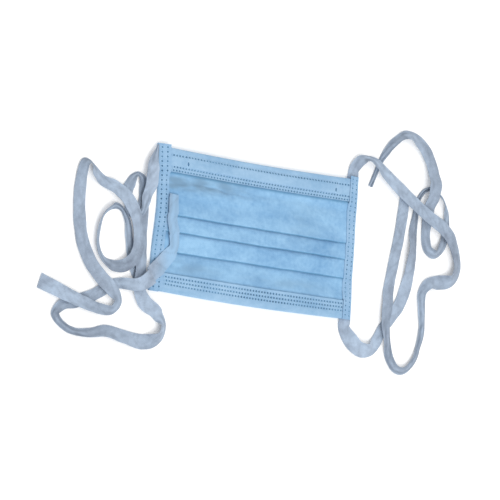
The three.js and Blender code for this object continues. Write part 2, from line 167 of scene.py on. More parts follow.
# Ties: side of the mask, then the centre of the tape at each point as its distance out from the
# side edge, its place along Y, the height of its lowest edge and its lean in degrees
TIE_WIDTH = 10.0
TIE_WALL = 1.0
TIE_ROUTES = {
    "tie_top_left": (-1, (
        (1.5, 42, 2.6, 0), (5, 41, 2.6, 0), (7.7, 37, 3, 0), (8, 30, 3.8, 0), (7.1, 21, 4.2, 0),
        (7.5, 11, 2.8, 0), (10, 2.5, 1.9, 0), (15.5, -2.5, 1.9, 0), (21.5, 1.5, 2, 0),
        (23, 10, 1.8, 0), (22.5, 15, 0.8, -3), (21, 20.5, 0.3, -42), (17, 24.8, 0.3, -42),
        (13, 25, 0.3, -10), (9.5, 22, 0.3, 0), (6.7, 14, 0.3, 0), (6.3, 2, 0.3, 0), (6.7, -10, 0.3, 0),
        (7, -20, 1.7, 0), (7, -29, 1.9, 0), (8, -39, 2.6, 0), (8.5, -48, 2.4, 0), (3.5, -56, 1.2, 10),
        (-6.5, -61, 0.3, 20), (-13.5, -68, 0.3, -25), (-10.5, -77, 0.3, -30), (1.5, -81, 0.3, 0),
        (18.5, -79.5, 0.3, 8), (33.5, -77.5, 0.3, 15), (46.5, -80, 0.3, 25), (58.5, -80.5, 0.3, 10),
        (69.5, -77.5, 0.3, -25), (76.5, -71, 0.3, -45), (70.5, -65, 0.3, -10), (59.5, -61.5, 0.3, 0),
        (48.5, -57.5, 0.3, 0), (39, -52.5, 0.3, 0), (31.5, -48, 0.3, 0), (23.5, -45.8, 0.3, 0),
        (18, -45.8, 2.4, 0), (13.5, -45.8, 4.1, 0), (9, -44.5, 5.3, 0), (4.5, -41, 6.6, 0),
        (-0.5, -36.5, 6.6, 0), (-5.5, -32, 6.6, 0), (-10.5, -27.5, 6.3, 0), (-14.5, -23, 5.3, 0),
        (-17, -18, 5, 0), (-17, -12.5, 5.5, 0), (-15.5, -7, 6.9, 0), (-14.3, -1, 7, 0),
        (-14.1, 5, 7.2, 0), (-14.2, 11, 6.4, 0), (-14.5, 16, 5.4, 0),
    )),
    "tie_bottom_left": (-1, (
        (1.1, -42.5, 1.2, 0), (5.5, -42, 0.8, 0), (11, -37, 0.3, 0), (15, -28, 0.3, 0),
        (18.5, -16, 0.3, 0), (21, -5, 0.3, 0), (26, 1.5, 0.3, 0), (31, 3, 0.3, -5), (36, 1, 0.3, -50),
        (41, -3.5, 0.3, -45), (44.5, -13, 0.3, -30), (44.5, -24, 0.3, -30), (39.5, -32, 0.3, -20),
        (30.5, -35.5, 0.3, -12), (22, -34, 2.4, 0), (15.5, -28, 3.8, 0), (12.5, -19, 3.5, 0),
        (13.5, -9, 3.5, 0), (17.5, 0, 3.8, 0), (24.5, 8.5, 3.8, 0), (33.5, 14.5, 2.2, 0),
        (43, 17.5, 0.3, 0), (50.5, 22, 0.3, 25), (55, 28, 0.3, 55), (59.5, 27.5, 0.3, 40),
        (61.5, 18, 0.3, 12), (61.5, 4, 0.3, 0), (60, -10, 0.3, 0), (56.5, -23, 0.3, 0),
        (50.5, -34, 0.8, 0), (41.5, -43.5, 1.9, 0), (31.5, -50.5, 2, 0), (25.5, -57, 1.2, -15),
        (29.5, -63.5, 0.6, -15), (40.5, -64, 1.9, 0), (51.5, -62, 2.2, 0), (63.5, -59.5, 3, 0),
        (75.5, -56, 2.4, 0), (89.5, -51.5, 0.3, 0),
    )),
    "tie_top_right": (1, (
        (-4.5, 48.2, 2.6, 0), (-4.2, 52.5, 2.4, 0), (-1, 58.5, 1.9, -30), (6, 61, 1.9, -35),
        (14.5, 58.5, 3, -10), (23.5, 52.5, 2.8, 0), (33.5, 46.5, 2.2, 0), (43.5, 40.5, 2.4, 0),
        (54.5, 34, 3, 0), (65.5, 28, 3.8, 0), (75.5, 24, 3.2, 0), (84.5, 18, 1.9, -8),
        (91.5, 8, 0.3, -15), (93.5, -3, 0.3, -20), (89, -11, 0.3, -25), (78.5, -13.5, 0.3, 0),
        (68.5, -15.5, 0.3, 20), (63, -22, 0.3, 25), (63.5, -33, 0.3, 20), (65, -46, 0.3, 15),
        (63, -59, 0.3, 0), (58.5, -69, 0.3, -15), (50, -76, 0.3, -30), (41.5, -75, 0.3, -40),
        (36, -67, 0.3, -20), (33.5, -58, 2, 0), (31, -46, 2, 0), (32, -34, 1.9, 0),
        (33.5, -22, 0.3, 0), (37, -3, 0.3, 0), (40, 12, 0.3, 0), (42, 26, 0.3, 0), (43.5, 41, 0.3, 0),
    )),
    "tie_bottom_right": (1, (
        (-4.5, -48.2, 2.2, 0), (-4.2, -53, 1.2, 0), (0.5, -61, 0.3, 25), (9, -66, 0.3, 25),
        (18, -65.5, 0.3, 20), (24.5, -59.5, 0.3, 0), (29.5, -50.5, 0.3, 0), (36.5, -42, 0.3, 0),
        (43.5, -33, 0.3, 0), (48.5, -21, 0.3, 0), (51, -8, 0.3, 10), (52, 6, 0.3, 20),
        (52.5, 18, 0.3, 0), (54, 30, 0.3, 0), (55.5, 39, 0.3, 0), (60.5, 46, 0.3, -12),
        (67, 48.3, 0.3, -4), (73, 46.5, 0.3, -10), (78.3, 41.5, 0.3, -45), (82, 33, 0.3, -5),
        (82, 22, 0.3, 0), (79, 11, 0.3, -15), (72, 4.5, 0.3, -40), (65.3, 8, 0.3, -25),
        (64, 18, 0.3, 0), (64.5, 28, 0.9, 0), (65.3, 35, 1.2, 0), (66.3, 43, 4.6, 0),
        (67.3, 51, 4.6, 0), (66.5, 60, 1.4, 5), (62, 70, 0.3, 8), (53, 78, 0.3, 12),
        (42, 81.5, 0.3, 35), (32, 77.5, 0.3, 60), (24.5, 69, 0.3, 25), (19, 60, 0.3, 0),
        (15, 51, 0.3, 0), (11, 43, 0.3, 20),
    )),
}

# How each tape lies between its route points: number of the point, shift to its left side in
# millimetres, and share of its width that lies open
TIE_SHAPES = {
    "tie_top_left": (
        (0, 5.4, 0.5), (1, 5.4, 0.55), (2, 4.1, 0.74), (3, 3.3, 1.0), (4, 1.6, 0.98),
        (5, -0.6, 0.76), (6, 0.4, 0.42), (7, 0, 0.35), (8, 0, 0.5),
        (10, 0, 0.8), (11, 0, 0.6), (12, 0, 0.4), (13, 0, 0.4), (14, -0.6, 0.7),
        (15.5, -2.2, 0.9), (18.5, -2.2, 0.93), (20, -0.8, 0.9), (22, 0, 1.0), (24, 0, 0.7),
        (26, 0, 1.0), (28, 0, 0.8), (30, 0, 0.5), (31, 0, 0.45), (32, 0, 0.5), (34, 0, 0.85),
        (38, 0, 0.7), (40, 0, 0.8), (42, 0, 1.0), (44, 0, 1.1), (46, 0, 1.05), (47, 0, 0.75),
        (49, 0, 0.85), (53, 0, 0.75),
    ),
    "tie_bottom_left": (
        (0, 0, 0.9), (3, 0, 0.8), (5, 0, 0.5), (6, 0, 0.35), (8, 0, 0.45),
        (10, 0, 0.5), (12, 0, 0.5), (13, 0, 0.75), (15, 0, 0.9), (19, 0, 0.95),
        (21, 0, 0.7), (22, 0, 0.8), (23, 0, 0.45), (24, 0, 0.6), (26, 0, 0.95),
        (28, 0, 1.0), (31, 0, 1.0), (32, 0, 0.7), (33, 0, 0.6), (35, 0, 0.8),
        (38, 0, 1.0),
    ),
    "tie_top_right": (
        (0, 0, 0.9), (2, 0, 0.75), (3, 0, 0.5), (4, 0, 0.6), (6, 0, 0.9),
        (9, 0, 0.85), (11, 0, 1.0), (13, 0, 0.9), (15, 0, 0.95), (17, 0, 0.6),
        (19, 0, 0.45), (21, 0, 0.5), (23, 0, 0.55), (25, 0, 0.6), (27, 0, 0.9),
        (32, 0, 0.9),
    ),
    "tie_bottom_right": (
        (0, 0, 1.0), (3, 0, 1.0), (6, 0, 0.8), (9, 0, 1.0), (11, 0, 0.9),
        (13, 0, 0.5), (14, 0, 0.3), (17, 0, 0.25), (19, 0, 0.5), (21, 0, 0.7),
        (23, 0, 0.6), (25, 0, 0.9), (28, 0, 1.0), (30, 0, 1.0), (32, 0, 0.75),
        (34, 0, 0.5), (35, 0, 0.35), (37, 0, 0.3),
    ),
}

# Where a tape comes out from under the mask at once: number of its first free route point, and
# the place of its root in millimetres. The root lies a little lower and is almost closed.
TIE_ROOTS = {"tie_top_left": (1.9, (-88.0, 46.6))}
ROOT_DROP = 0.6
ROOT_SHARE = 0.08

# The other roots run on under the pressed bindings: their height, the run over which a tape comes
# up from it, and how far it runs on
ROOT_HEIGHT = 1.0
ROOT_RISE_RUN = 16
ROOT_RUN_ON = 3.0

# Number of the route point from which a tape lies on the mask
TIE_OVER_MASK = {"tie_top_left": 42.6}


def deselect():
    bpy.ops.object.select_all(action="DESELECT")


def smooth(low, high, value):
    """Soft step of the value from 0 at low to 1 at high."""
    share = np.clip((value - low) / (high - low), 0, 1)
    return share * share * (3 - 2 * share)


def noise_at(*columns):
    """Smooth seeded noise from -1 to 1 at each row of the columns."""
    shape = np.broadcast(*columns).shape
    rows = np.stack([np.broadcast_to(c, shape).ravel() for c in columns], 1)
    values = [noise.noise(Vector(row)) for row in rows]
    return np.array(values).reshape(shape)


def run_along(points):
    """Length of the line through the points, up to each of them."""
    return np.concatenate([[0], np.cumsum(np.linalg.norm(np.diff(points, axis=0), axis=1))])


def even(start, end, step):
    """Evenly spread places from start to end, about a step apart."""
    count = max(1, round(abs(end - start) / step))
    return np.linspace(start, end, count + 1)


def add_camera():
    """A long lens over the left side of the mask, as in the photograph."""
    heading = math.radians(CAMERA_HEADING)
    tilt = math.radians(CAMERA_TILT)
    roll = math.radians(CAMERA_ROLL)
    along = Vector((math.cos(heading), math.sin(heading), 0))
    across = Vector((-math.sin(heading), math.cos(heading), 0))
    back = Vector((0, 0, math.cos(tilt))) - math.sin(tilt) * along
    level = Vector((0, 0, math.sin(tilt))) + math.cos(tilt) * along
    right = math.cos(roll) * level - math.sin(roll) * across
    up = math.sin(roll) * level + math.cos(roll) * across
    place = CAMERA_DISTANCE * back + CAMERA_RIGHT * right + CAMERA_UP * up
    camera = bpy.data.objects.new("camera", bpy.data.cameras.new("camera"))
    camera.matrix_world = Matrix((right, up, back)).transposed().to_4x4()
    camera.location = place
    camera.data.sensor_width = 36
    camera.data.lens = CAMERA_LENS
    bpy.context.scene.collection.objects.link(camera)
    bpy.context.scene.camera = camera


def grid_mesh(name, rows, uv=None, shade=None, tint=None):
    """A sheet through rows of points in millimetres. uv, shade and tint follow the same rows."""
    rows = np.asarray(rows, float)
    count, size = rows.shape[:2]
    index = np.arange(count * size).reshape(count, size)
    faces = np.stack([index[:-1, :-1], index[:-1, 1:], index[1:, 1:], index[1:, :-1]], -1)
    mesh = bpy.data.meshes.new(name)
    mesh.from_pydata((rows.reshape(-1, 3) * MM).tolist(), [], faces.reshape(-1, 4).tolist())
    if uv is not None:
        flat = np.asarray(uv, float).reshape(-1, 2) * MM
        layer = mesh.uv_layers.new(name="flat_cloth")
        corners = np.empty(len(mesh.loops), int)
        mesh.loops.foreach_get("vertex_index", corners)
        layer.data.foreach_set("uv", flat[corners].ravel())
    # The crease attribute is painted shade of folds, creases and pinched weld grooves
    for label, values in (("crease_shade", shade), ("tint", tint)):
        if values is not None:
            layer = mesh.attributes.new(label, "FLOAT", "POINT")
            layer.data.foreach_set("value", np.asarray(values, np.float32).ravel())
    piece = bpy.data.objects.new(name, mesh)
    bpy.context.scene.collection.objects.link(piece)
    return piece


def select_only(piece):
    deselect()
    piece.select_set(True)
    bpy.context.view_layer.objects.active = piece


def thicken(piece, wall, inner_material=0):
    """Gives a sheet its wall and smooth shading."""
    select_only(piece)
    shell = piece.modifiers.new("wall", "SOLIDIFY")
    shell.thickness = wall * MM
    shell.offset = 0
    shell.use_even_offset = True
    shell.thickness_clamp = 2
    shell.material_offset = inner_material
    bpy.ops.object.modifier_apply(modifier=shell.name)
    bpy.ops.object.shade_smooth_by_angle(angle=math.radians(50))


def route_frames(side, points, step=1.0):
    """Centre, heading, rise, lean and point number along a tie's route, as the CAD part runs it."""
    table = np.array(points, float)
    places = np.column_stack([side * (HALF_WIDTH + table[:, 0]), table[:, 1]])
    padded = np.vstack([2 * places[0] - places[1], places, 2 * places[-1] - places[-2]])
    centres, headings, leans, rises, numbers = [], [], [], [], []
    for span in range(len(places) - 1):
        before, start, end, after = padded[span:span + 4]
        gaps = [math.dist(a, b) ** 0.5 for a, b in ((before, start), (start, end), (end, after))]
        first = (start - before) / gaps[0] - (end - before) / (gaps[0] + gaps[1])
        first = (first + (end - start) / gaps[1]) * gaps[1]
        last = (end - start) / gaps[1] - (after - start) / (gaps[1] + gaps[2])
        last = (last + (after - end) / gaps[2]) * gaps[1]
        count = max(2, round(math.dist(start, end) / step))
        closing = span == len(places) - 2
        t = np.arange(count + closing)[:, None] / count
        square = -3 * start + 3 * end - 2 * first - last
        cube = 2 * start - 2 * end + first + last
        centres.append(start + first * t + square * t ** 2 + cube * t ** 3)
        headings.append(first + 2 * square * t + 3 * cube * t ** 2)
        blend = (t * t * (3 - 2 * t))[:, 0]
        rises.append(table[span, 2] + (table[span + 1, 2] - table[span, 2]) * blend)
        leans.append(table[span, 3] + (table[span + 1, 3] - table[span, 3]) * blend)
        numbers.append(span + blend)
    centres, headings = np.vstack(centres), np.vstack(headings)
    headings /= np.linalg.norm(headings, axis=1)[:, None]
    leans = np.radians(np.concatenate(leans))
    return centres, headings, np.concatenate(rises), leans, np.concatenate(numbers)


def laid_over(centres, left, middle, resting, half):
    """Lets the last stretch of a tape settle on the mask's own surface."""
    spread = np.linspace(-half, half, 9)[None, :, None]
    under = centres[:, None, :] + left[:, None, :] * spread
    top = mask_top(under[..., 0], under[..., 1]).max(axis=1) + 0.3
    settled = np.where(resting, top, middle)
    kernel = np.hanning(11)[1:-1]
    padded = np.pad(settled, 4, mode="edge")
    soft = np.convolve(padded, kernel / kernel.sum(), mode="valid")
    return np.where(resting, np.maximum(soft, top - 0.15), middle)


def root_in_sight(course, numbers, first, place):
    """Starts a tape's course at its first free point and leads a narrow root up to it."""
    path, headings, leans, share = [part[numbers >= first] for part in course]
    root = np.array([*place, path[0, 2] - ROOT_DROP])
    lead = np.linspace(0, 1, 10)[:-1, None]
    turn = (path[0] - root)[:2] / np.linalg.norm((path[0] - root)[:2])
    turns = turn + (headings[0] - turn) * lead ** 2
    path = np.vstack([root + (path[0] - root) * lead, path])
    headings = np.vstack([turns / np.linalg.norm(turns, axis=1)[:, None], headings])
    leans = np.concatenate([0 * lead[:, 0], leans])
    share = np.concatenate([ROOT_SHARE + (share[0] - ROOT_SHARE) * lead[:, 0], share])
    return path, headings, leans, share


def root_under_binding(path, headings, leans, share):
    """Lowers the start of a tape's course and runs it on under the pressed side binding."""
    coming_up = smooth(0, ROOT_RISE_RUN, run_along(path[:, :2]))
    path[:, 2] -= (1 - coming_up) * (path[0, 2] - ROOT_HEIGHT)
    root = path[0] - np.array([*headings[0], 0]) * ROOT_RUN_ON
    path = np.vstack([root, path])
    headings = np.vstack([headings[0], headings])
    leans = np.concatenate([leans[:1], leans])
    share = np.concatenate([share[:1], share])
    return path, headings, leans, share


def tape_relief(along, across, share, seed):
    """Lift of a tape off its course, and the shade of its creases.

    Gathered tape folds up in lengthwise waves, open tape only crumples.
    """
    gather = np.clip(1 - share, 0, 0.7)
    drift = noise_at(along / 26, seed, 6.6)
    waves = np.cos(math.pi * (1.6 * across + 1.3 * drift))
    lift_off = 0.55 * gather * waves + 0.10 * noise_at(along / 40, seed, 0.5) * (0.4 - across ** 2)
    buckle = noise_at(along / 9 + 0.55 * across, across * 0.4, seed + 3.1)
    fine = noise_at(along / 3.4, across * 2.2, seed + 9.7)
    kink = np.exp(-(buckle / 0.07) ** 2)
    lift_off = lift_off + 0.34 * buckle + 0.12 * fine - 0.10 * kink
    furrow = gather * (0.5 - 0.5 * waves)
    shade = np.clip(0.28 * kink + 0.9 * furrow + 0.2 * gather, 0, 1)
    return lift_off * (1 - np.exp(-along / 3)), shade


def tie(name, seed):
    """A thin tape that lies flat in places and is gathered lengthwise in others."""
    side, points = TIE_ROUTES[name]
    centres, headings, rises, leans, numbers = route_frames(side, points)
    places, shifts, shares = np.array(TIE_SHAPES[name], float).T
    shift = np.interp(numbers, places, shifts)
    share = np.interp(numbers, places, shares)
    half = TIE_WIDTH / 2
    left = np.column_stack([-headings[:, 1], headings[:, 0]])
    centres = centres + left * shift[:, None]
    middle = rises + half * share * np.abs(np.sin(leans)) + TIE_WALL / 2 * np.cos(leans)
    if name in TIE_OVER_MASK:
        middle = laid_over(centres, left, middle, numbers > TIE_OVER_MASK[name], half)
    course = np.column_stack([centres, middle]), headings, leans, share
    if name in TIE_ROOTS:
        path, headings, leans, share = root_in_sight(course, numbers, *TIE_ROOTS[name])
    else:
        path, headings, leans, share = root_under_binding(*course)
    share = share[:, None]
    across = np.linspace(-1, 1, 13)[None, :]
    along = run_along(path)[:, None]
    lift_off, shade = tape_relief(along, across, share, seed)
    width = half * share * (1 + 0.06 * noise_at(along / 8, seed, 8.8))
    wide = np.column_stack([
        -headings[:, 1] * np.cos(leans), headings[:, 0] * np.cos(leans), np.sin(leans)])
    deep = np.column_stack([
        headings[:, 1] * np.sin(leans), -headings[:, 0] * np.sin(leans), np.cos(leans)])
    rows = (path[:, None, :] + (across * width)[..., None] * wide[:, None, :]
            + lift_off[..., None] * deep[:, None, :])
    rows[..., 2] = np.maximum(rows[..., 2], TABLE_GAP)
    uv = np.stack(np.broadcast_arrays(along, across * half), -1)
    # Blue of the mask shows through a tape that lies on it
    over = smooth(-2, 17, HALF_WIDTH - np.abs(rows[..., 0]))
    over = over * smooth(0, 4, HALF_HEIGHT - np.abs(rows[..., 1]))
    piece = grid_mesh(name.replace("tie_", "tape_tie_"), rows, uv, shade, over)
    thicken(piece, TAPE_CLOTH)
    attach(piece, "root")
    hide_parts(name)
    return piece


# Cloth heights. The level course and the lift are the CAD part's. Wrinkles, ripples, grooves and
# the press of the welded sides come on top of them.


def between_hems(y):
    """1 on the open cloth between the two hems, 0 at and under them."""
    low = CHIN_INNER + SINK_MARGIN
    high = HEM_INNER - SINK_MARGIN
    return smooth(low, low + SINK_RUN, y) * (1 - smooth(high - SINK_RUN, high, y))


def between_bindings(x):
    """1 between the two side bindings, 0 at and under them."""
    side = BINDING_INNER - SINK_MARGIN
    return 1 - smooth(side - SINK_RUN, side, np.abs(x))


def lift(x, y):
    """Lift of the cloth over its level course."""
    swell = 0
    for cx, cy, reach_x, reach_y, height in SWELLS:
        across = (x / HALF_WIDTH - cx) / reach_x
        up = (y / HALF_HEIGHT - cy) / reach_y
        swell = swell + height * np.exp(-2 * (across ** 2 + up ** 2))
    return between_bindings(x) * (swell - SEAT + MIDDLE_RISE) - between_hems(y) * SEAT


def run_height(index, y):
    """Height of a run of pleated cloth over the lowest level."""
    y = np.asarray(y, float)
    if index == len(FOLDS):
        return np.zeros_like(y)
    inner = FOLDS[index][1]
    top = inner + SETTLE_RUN if index == 0 else FOLDS[index - 1][1]
    low = run_height(index + 1, y) + 2 * PITCH
    start = float(run_height(index + 1, inner)) + 2 * PITCH
    return np.where(y <= inner, low, start * (1 - np.clip((y - inner) / (top - inner), 0, 1)))


def panel_top(y):
    """Height of the uppermost run of cloth at each place."""
    y = np.asarray(y, float)
    top = run_height(len(FOLDS), y)
    for index in reversed(range(len(FOLDS))):
        top = np.where(y >= FOLDS[index][0], run_height(index, y), top)
    return top


def wrinkle(x, y):
    """Gentle crumpling of the open cloth, still at the hems and bindings."""
    open_cloth = between_hems(y) * between_bindings(x)
    height = 0.35 * noise_at(x / 26, y / 13, 0.3) + 0.24 * noise_at(x / 10, y / 6, 5.1)
    height = height + 0.12 * noise_at(x / 4, y / 3.2, 8.4)
    crumpled = np.exp(-((x + 42) / 36) ** 2 - ((y - 26) / 6) ** 2)
    height = height + 1.8 * crumpled * noise_at(x / 7, y / 2.8, 4.9)
    for cx, cy, reach_x, reach_y, turn, top in SOFT_FOLDS:
        turn = math.radians(turn)
        along = (x - cx) * math.cos(turn) + (y - cy) * math.sin(turn)
        away = (y - cy) * math.cos(turn) - (x - cx) * math.sin(turn)
        height = height + top * np.exp(-(along / reach_x) ** 2 - (away / reach_y) ** 2)
    return open_cloth * height


def ripple(x):
    """Slow waves of the hems along their length."""
    return 0.16 * noise_at(x / 17, 0.7, 2.2) + 0.07 * noise_at(x / 6, 1.9, 4.4)


def pressed(x):
    """Share of the pleats' height left where the side bindings press them flat."""
    return 1 - PLEAT_PRESS * smooth(60, 76, np.abs(x))


def sagged(x, y):
    """How far the cloth between the bindings hangs below its straight course."""
    bow = np.clip(1 - (x / SAG_BOW) ** 2, 0, 1)
    upper = np.interp(y, SAG_PLACES, SAG_DEPTHS) * (SAG_SHARES[0] + SAG_SHARES[1] * bow)
    return upper + CHIN_SAG * smooth(28, HALF_HEIGHT, -y) * bow


def waisted(x, y):
    """How far the left side is drawn in toward the middle of the mask."""
    return WAIST_DEPTH * np.exp(-((y - WAIST_PLACE) / WAIST_REACH) ** 2) * smooth(58, 82, -x)


def flattened(x):
    """Share of the whole mask's height left toward its welded side edges."""
    return 1 - EDGE_PRESS * smooth(70, 87, np.abs(x))


def half_turn(y, from_z, to_z, side, count=5):
    """Points of a round turn between two levels."""
    angles = np.pi * (np.arange(1, count) / count - 0.5)
    middle, radius = (from_z + to_z) / 2, abs(from_z - to_z) / 2
    rise = math.copysign(radius, to_z - from_z)
    return [(y + side * radius * math.cos(a), middle + rise * math.sin(a)) for a in angles]


def pleated_course(step=0.6):
    """The panel's course from the nose edge to the chin edge, through its three pleats."""
    points = []
    start = TOP_EDGE
    for index, (edge, inner) in enumerate(FOLDS):
        cover = even(start, edge, step)
        under = even(edge, inner, step)
        cover_z = run_height(index, cover)
        under_z = run_height(index + 1, under) + PITCH
        points += list(zip(cover, cover_z))
        points += half_turn(edge, cover_z[-1], under_z[0], -1)
        points += list(zip(under, under_z))
        points += half_turn(inner, under_z[-1], float(run_height(index + 1, inner)), 1)
        start = inner
    last = even(start, -TOP_EDGE, step)
    points += list(zip(last, run_height(len(FOLDS), last)))
    return np.array(points)


def fold_waver(x, y):
    """Small drift of each fold edge along its length."""
    drift = 0
    for order, (edge, _) in enumerate(FOLDS):
        sway = 0.55 * noise_at(x / 38, order * 3.7, 6.1) + 0.18 * noise_at(x / 11, order * 5.3, 1.2)
        drift = drift + sway * np.exp(-((y - edge) / 4) ** 2)
    return drift


def fold_shade(y):
    """Painted shade of the cloth in the line at the foot of each fold edge and under the top hem."""
    shade = 0
    for edge, _ in FOLDS:
        below = edge - y
        shade = shade + np.where(below > 0.05, np.exp(-(below / 0.7) ** 2), 0)
    under_hem = np.exp(-((y - HEM_INNER + 0.6) / 0.9) ** 2) * 0.5
    return np.clip(shade + under_hem, 0, 1)


def shade_and_grey_patches(x, y):
    """Painted shade in the valley below the top hem on the left, and greyer patches at one side and
    over the chin hem.
    """
    patch = np.clip(0.85 + 0.9 * noise_at(x / 11, y / 3.4, 7.7), 0, 1)
    # Painted shade in the soft valley under the top hem on the left
    valley = np.exp(-((y - 27 - 0.06 * (x + 40)) / 5.0) ** 4) * smooth(-86, -76, x)
    unevenness = 1.15 * valley * (1 - smooth(-44, 4, x))
    for cx, cy, reach_x, reach_y, strength in GREY_PATCHES:
        unevenness = unevenness + strength * np.exp(-((y - cy) / reach_y) ** 2 - ((x - cx) / reach_x) ** 2)
    return np.clip(patch * unevenness, 0, 1)


def make_panel():
    """One sheet of cloth, folded along its course."""
    course = pleated_course()
    xs = even(-SIDE_EDGE, SIDE_EDGE, 1.3)[:, None]
    ys = np.broadcast_to(course[None, :, 0], (len(xs), len(course)))
    ys = ys + fold_waver(xs, ys)
    xs = np.broadcast_to(xs, ys.shape)
    top = 0.5 * (WALL - PANEL_CLOTH) - WALL_MARGIN
    zs = course[None, :, 1] * pressed(xs) + HEM_BASE + lift(xs, ys) + wrinkle(xs, ys) + top
    uv = np.stack(np.broadcast_arrays(xs, run_along(course)[None, :]), -1)
    shade = np.broadcast_to(fold_shade(course[None, :, 0]), ys.shape)
    places = np.stack([xs, ys, zs], -1)
    # The tint is painted shade in the valley under the top hem, with greyer patches
    return grid_mesh("pleated_panel", places, uv, shade, shade_and_grey_patches(xs, ys))


def groove(place, rows, depth, reach=0.75):
    """Pinch of the cloth along its weld rows."""
    return depth * sum(np.exp(-((place - row) / reach) ** 2) for row in rows)


def pocket(x, y):
    """Rise of the top hem over the nose wire."""
    along = smooth(0, POCKET_RAMP, WIRE_HALF + 0.3 + POCKET_RAMP - np.abs(x))
    across = smooth(0, 2.2, WIRE_WIDTH / 2 + 2.9 - np.abs(y - WIRE_Y - 1.4))
    return POCKET_RISE * along * across


def hem_top(x, y, side):
    """Height of the middle of a hem's upper leg."""
    place = HALF_HEIGHT - side * y
    height = HEM_BASE + HEM_LEVEL + lift(x, y) + ripple(x) - groove(place, WELD_ROWS[side], 0.32)
    return height + (pocket(x, y) if side > 0 else 0)


def make_hem(name, side, width):
    """A strip folded over one edge, with its upper leg pinched along the weld rows."""
    outer = HALF_HEIGHT - HEM_CLOTH / 2 - HEM_LEVEL
    inner = HALF_HEIGHT - width
    upper = even(inner, outer, 0.45)
    turn = [(outer + HEM_LEVEL * math.cos(a), HEM_LEVEL * math.sin(a))
            for a in np.linspace(math.pi / 2, -math.pi / 2, 9)[1:-1]]
    lower = even(outer, inner, 1.5)
    xs = even(-SIDE_EDGE, SIDE_EDGE, 1.3)
    course = [(y, 0.0) for y in upper] + turn + [(y, -HEM_LEVEL) for y in lower]
    rows = []
    for x in xs:
        x = np.full(len(course), x)
        y = side * np.array([p[0] for p in course])
        base = HEM_BASE + lift(x, y) + ripple(x)
        z = np.array([p[1] for p in course]) + base
        z[:len(upper)] = hem_top(x[:len(upper)], y[:len(upper)], side)
        rows.append(np.stack([x, y, z], -1))
    rows = np.array(rows)
    # Painted shade along the weld rows, where the pinched cloth dips
    shade = groove(HALF_HEIGHT - side * rows[..., 1], WELD_ROWS[side], 0.35, 0.6)
    run = np.arange(len(course)) * 0.6
    uv = np.stack(np.broadcast_arrays(rows[..., 0], run[None, :]), -1)
    if side < 0:
        rows, uv, shade = rows[::-1], uv[::-1], shade[::-1]
    return grid_mesh(name, rows, uv, shade)


def wrapped_height(y):
    """Height of what a side binding wraps."""
    y = y + sagged(SIDE_EDGE, y)
    level = np.where((y >= HEM_INNER - 0.4) | (y <= CHIN_INNER + 0.4), SEAT + WALL / 2 + 0.2, 0)
    place = np.clip(y, -TOP_EDGE, TOP_EDGE)
    top = np.maximum(panel_top(place) * pressed(HALF_WIDTH) + WALL / 2, level)
    return HEM_BASE + lift(np.full_like(place, HALF_WIDTH), place) + top


# Places along a binding where the cloth that it wraps is measured
STATIONS = np.linspace(-HALF_HEIGHT, HALF_HEIGHT, 191)


def draped(reach):
    """Height of the wrapped cloth's tops, bridged and smoothed over a reach along Y."""
    shifts = np.linspace(-reach, reach, 17)
    tops = np.max([wrapped_height(STATIONS + shift) for shift in shifts], axis=0)
    return np.mean([np.interp(STATIONS + shift, STATIONS, tops) for shift in shifts * 0.8], axis=0)


# Heights under a binding's tape: bridged at its outer edge, close to the cloth at its inner edge
BRIDGED = draped(7.0)
SEATED = draped(0.5)


def binding_top(out, y):
    """Height of the middle of the tape, out = its distance in from the mask's side edge."""
    outer = np.interp(y, STATIONS, BRIDGED) + BINDING_OUTER
    inner = np.interp(y, STATIONS, SEATED) + BINDING_INNER_GAP
    height = outer + (inner - outer) * smooth(3.0, BINDING, out)
    short = (BINDING_ROUND - np.minimum(out, BINDING_ROUND)) / BINDING_ROUND
    crown = 0.55 + 0.45 * np.sqrt(np.clip(1 - short ** 2, 0, 1))
    unevenness = 0.10 * noise_at(y / 9, out / 6, 3.3)
    return height * crown - groove(out, WELD_COLUMNS, 0.22) + unevenness


def mask_top(x, y):
    """Height of the mask's upper surface, or of the table beside it."""
    out = HALF_WIDTH - np.abs(x)
    panel = panel_top(y) * pressed(x) + HEM_BASE + lift(x, y) + wrinkle(x, y) + PANEL_CLOTH
    hem = np.where(y > 0, hem_top(x, y, 1), hem_top(x, y, -1)) + HEM_CLOTH / 2
    tape = binding_top(out, y) + TAPE_CLOTH / 2
    top = np.where((y > HEM_INNER) | (y < CHIN_INNER), hem, panel)
    top = np.where(out < BINDING, tape, top) * flattened(x)
    return np.where((out < 0) | (np.abs(y) > HALF_HEIGHT), 0.1, top)


def vertex_places(piece):
    """Places of a piece's vertices in millimetres."""
    places = np.empty(len(piece.data.vertices) * 3)
    piece.data.vertices.foreach_get("co", places)
    return places.reshape(-1, 3) / MM


def move_vertices(piece, places):
    """Puts a piece's vertices at new places in millimetres."""
    piece.data.vertices.foreach_set("co", (places * MM).ravel())
    piece.data.update()


def settle(piece, hangs):
    """Presses a finished piece down at its sides, draws it in and lets open cloth hang."""
    places = vertex_places(piece)
    places[:, 2] *= flattened(places[:, 0])
    places[:, 0] += waisted(places[:, 0], places[:, 1])
    if hangs:
        places[:, 1] -= sagged(places[:, 0], places[:, 1])
    move_vertices(piece, places)


